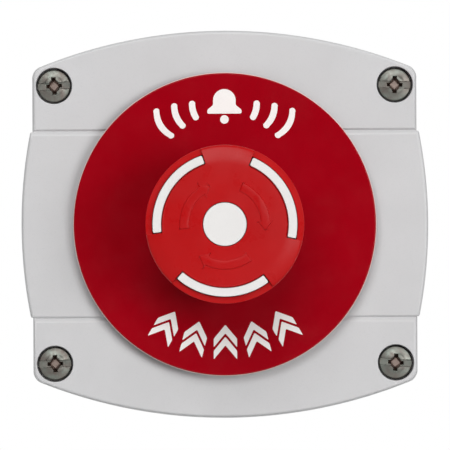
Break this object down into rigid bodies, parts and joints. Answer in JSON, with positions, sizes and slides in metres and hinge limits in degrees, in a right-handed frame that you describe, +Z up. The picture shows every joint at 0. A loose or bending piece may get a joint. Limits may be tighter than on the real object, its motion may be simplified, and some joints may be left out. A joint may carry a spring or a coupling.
{
  "type": "panic button",
  "caption": "Wall-mounted panic button: twist-to-release mushroom head on a round red disc, in a two-part plastic enclosure with contact blocks inside.",
  "frame": {"origin": "centre of the enclosure's back face, on the wall and on the axis of the head", "axes": "+Y into the wall, +Z up, +X to the right of someone who faces the button"},
  "size_m": [0.107, 0.0946, 0.1018],
  "materials": {
    "enclosure_grey": "fine matt moulding texture",
    "legend_red": "smooth matt",
    "legend_white": "smooth inlay",
    "head_red": "satin",
    "indicator_white": "satin",
    "actuator_black": "fine matt",
    "seal_rubber": "matt",
    "screw_steel": "turned",
    "spring_steel": "drawn wire",
    "contact_brass": "plain",
    "block_grey": "fine matt"
  },
  "bodies": {
    "enclosure": {"rear_box": "enclosure_grey", "box_gasket": "seal_rubber", "front_cover": "enclosure_grey", "cover_screws": "screw_steel", "cover_screw_seals": "seal_rubber", "screw_inserts": "contact_brass", "legend_disc": "legend_red", "legend_marks": "legend_white", "bezel_gasket": "seal_rubber", "actuator_barrel": "actuator_black", "bezel_ring": "actuator_black", "lip_seal": "seal_rubber", "ring_nut": "actuator_black", "contact_holder": "block_grey", "holder_screw": "screw_steel", "return_spring": "spring_steel", "contact_housing_left": "block_grey", "contact_terminals_left": "contact_brass", "terminal_clamps_left": "screw_steel", "terminal_screws_left": "screw_steel", "contact_spring_left": "spring_steel", "contact_housing_right": "block_grey", "contact_terminals_right": "contact_brass", "terminal_clamps_right": "screw_steel", "terminal_screws_right": "screw_steel", "contact_spring_right": "spring_steel"},
    "stem": {"stem": "actuator_black", "stem_retaining_ring": "spring_steel", "head_retaining_ring": "spring_steel"},
    "head": {"mushroom_cap": "head_red", "indicator_insert": "indicator_white", "head_skirt": "head_red"},
    "contact_left": {"contact_plunger_left": "block_grey", "contact_bridge_left": "contact_brass"},
    "contact_right": {"contact_plunger_right": "block_grey", "contact_bridge_right": "contact_brass"}
  },
  "joints": [
    {"name": "push_slide", "type": "slide", "parent": "enclosure", "child": "stem", "axis": [0, 1, 0], "range_m": [0, 0.005], "stiffness_N_per_m": 2000, "springref_m": -0.004, "deforming": ["return_spring"]},
    {"name": "head_twist", "type": "hinge", "parent": "stem", "child": "head", "pos_m": [0, -0.075, 0], "axis": [0, 1, 0], "range_deg": [0, 40], "stiffness_Nm_per_rad": 0.08},
    {"name": "contact_left_slide", "type": "slide", "parent": "enclosure", "child": "contact_left", "axis": [0, 1, 0], "range_m": [0, 0.005], "stiffness_N_per_m": 150, "springref_m": -0.003, "deforming": ["contact_spring_left"]},
    {"name": "contact_right_slide", "type": "slide", "parent": "enclosure", "child": "contact_right", "axis": [0, 1, 0], "range_m": [0, 0.005], "stiffness_N_per_m": 150, "springref_m": -0.003, "deforming": ["contact_spring_right"]}
  ],
  "couplings": [
    {"joint": "contact_left_slide", "follows": "push_slide", "ratio": 1},
    {"joint": "contact_right_slide", "follows": "push_slide", "ratio": 1}
  ]
}
